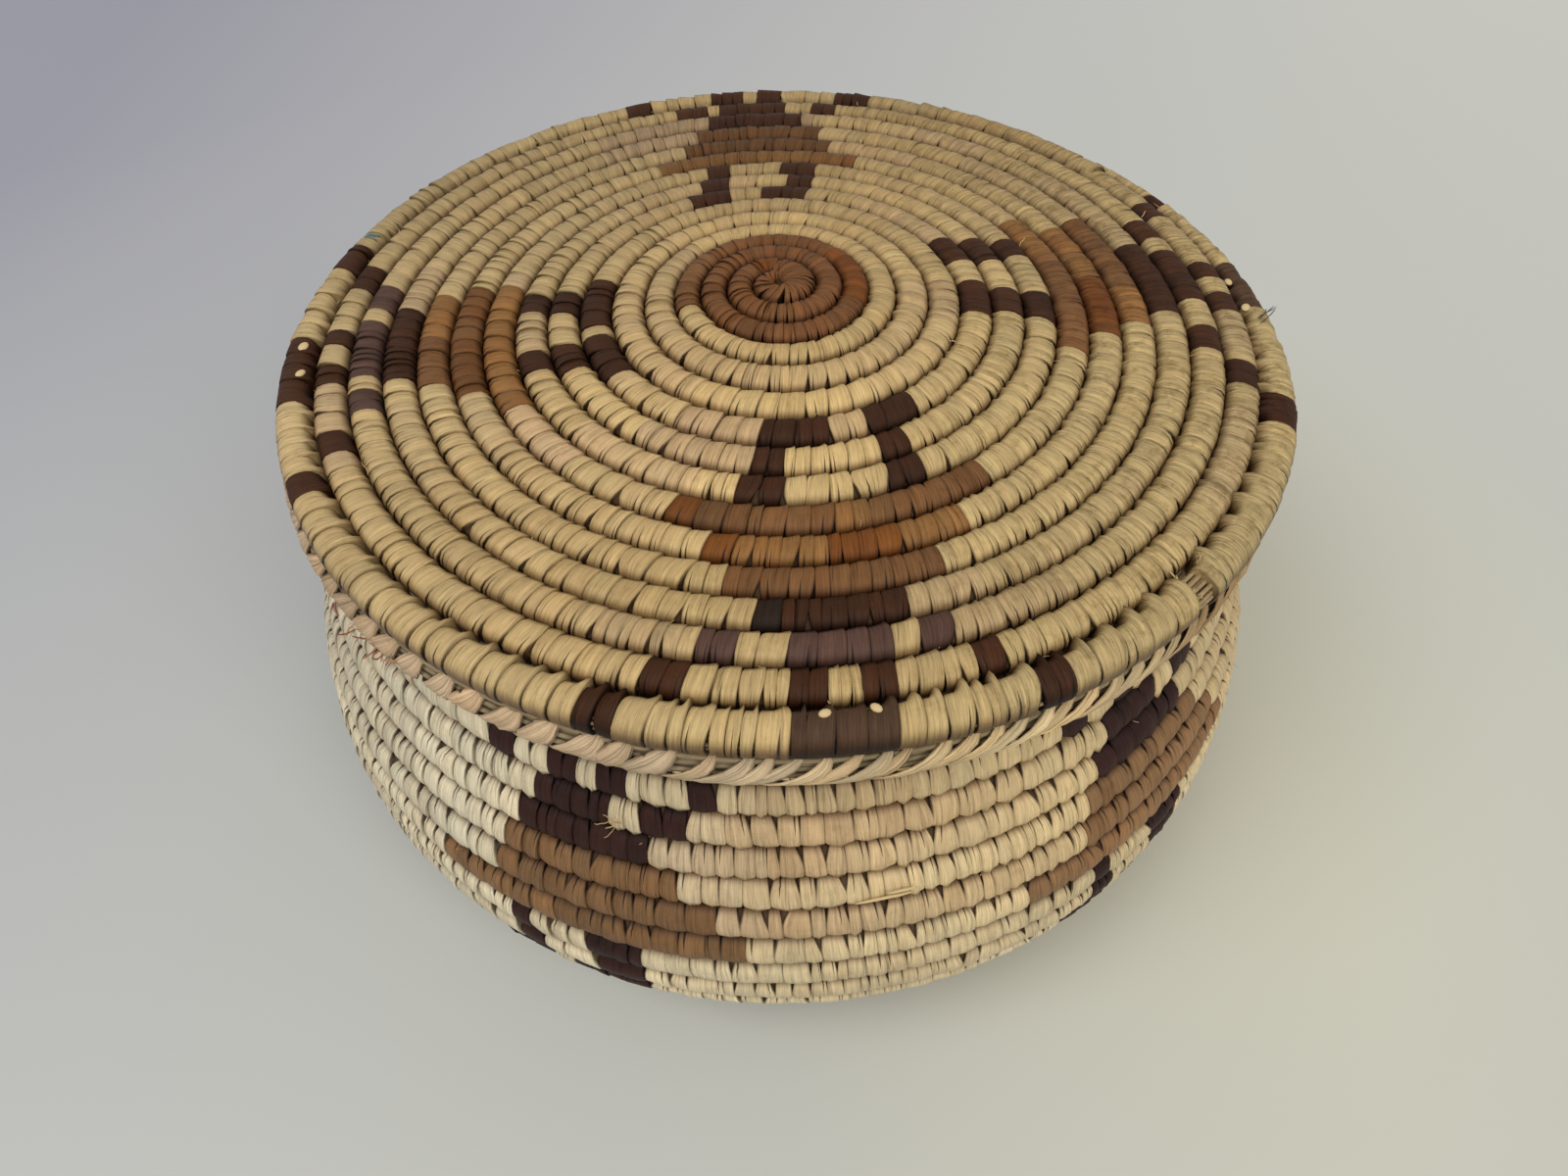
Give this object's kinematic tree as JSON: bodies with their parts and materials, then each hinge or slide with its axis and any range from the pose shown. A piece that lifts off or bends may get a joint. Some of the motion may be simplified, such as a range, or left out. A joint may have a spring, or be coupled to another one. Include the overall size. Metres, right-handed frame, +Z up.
{
  "type": "lidded coiled basket",
  "caption": "Round basket of coiled grass wrapped in palm strip, with a wide belly, a drawn-in neck and a domed lift-off lid whose skirt drops over the neck.",
  "frame": {"origin": "centre of the base on the ground, on the coil's axis", "axes": "+Z up along the axis of basket and lid, -Y towards the side that the picture shows"},
  "size_m": [0.3393, 0.3392, 0.1768],
  "materials": {
    "palm_natural": "satin",
    "palm_dyed": "satin",
    "grass": "matte"
  },
  "bodies": {
    "basket": {"basket_base_coil": "palm_natural", "basket_belly_coil": "palm_natural", "basket_shoulder_coil": "palm_natural", "basket_mouth_coil": "palm_natural"},
    "lid": {"lid_centre_coil": "palm_dyed", "lid_disc_coil": "palm_natural", "lid_rim_wrap": "palm_natural", "lid_rim_core": "grass", "lid_skirt_bundle": "grass", "lid_skirt_lashing": "palm_natural"}
  },
  "joints": [
    {"name": "lid_lift", "type": "slide", "parent": "basket", "child": "lid", "axis": [0, 0, 1], "range_m": [0, 0.12]}
  ]
}
